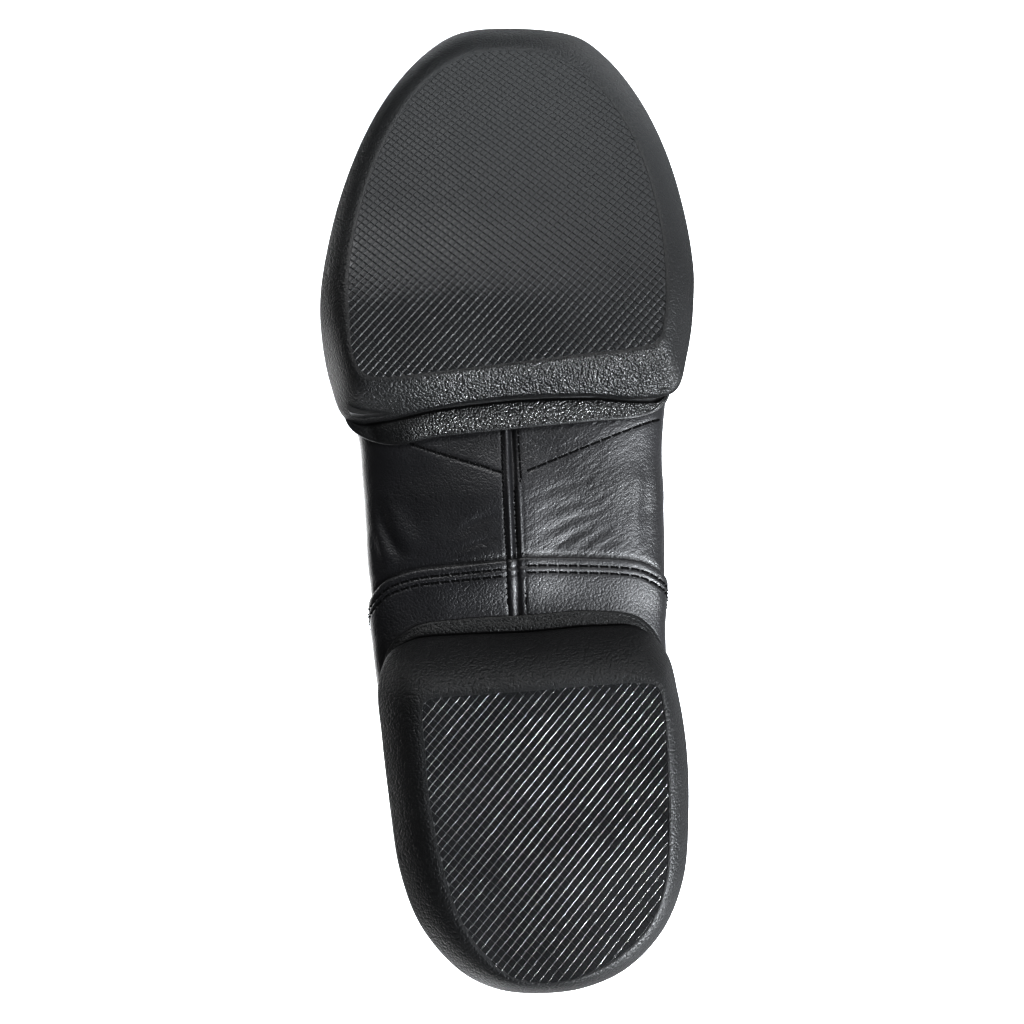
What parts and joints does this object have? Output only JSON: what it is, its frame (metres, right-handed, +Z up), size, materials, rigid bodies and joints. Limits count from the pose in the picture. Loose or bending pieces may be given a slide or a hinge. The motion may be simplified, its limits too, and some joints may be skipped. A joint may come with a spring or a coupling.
{
  "type": "dance shoe",
  "caption": "Low leather split-sole dance shoe for the right foot, with separate moulded forefoot and heel soles, a soft seamed arch and an open collar, lying on its inner side.",
  "frame": {"origin": "on the floor under the middle of the lying shoe's box", "axes": "+X towards the toe, -Y the way the sole faces, +Z up, away from the floor and towards the outer side of the foot"},
  "size_m": [0.2584, 0.0784, 0.0962],
  "materials": {
    "upper_leather": "soft black leather with a fine grain and a semi-gloss sheen",
    "sole_rubber": "matt dark grey-black moulded sole, pebbled rim and cross-hatched tread",
    "layer_rubber": "matt black pebbled layer",
    "insole_fabric": "matt black knitted sock lining"
  },
  "bodies": {
    "root": {"upper": "upper_leather", "outsole_forefoot": "sole_rubber", "outsole_heel": "sole_rubber", "midsole_forefoot": "layer_rubber", "midsole_heel": "layer_rubber", "insole": "insole_fabric"}
  },
  "joints": []
}
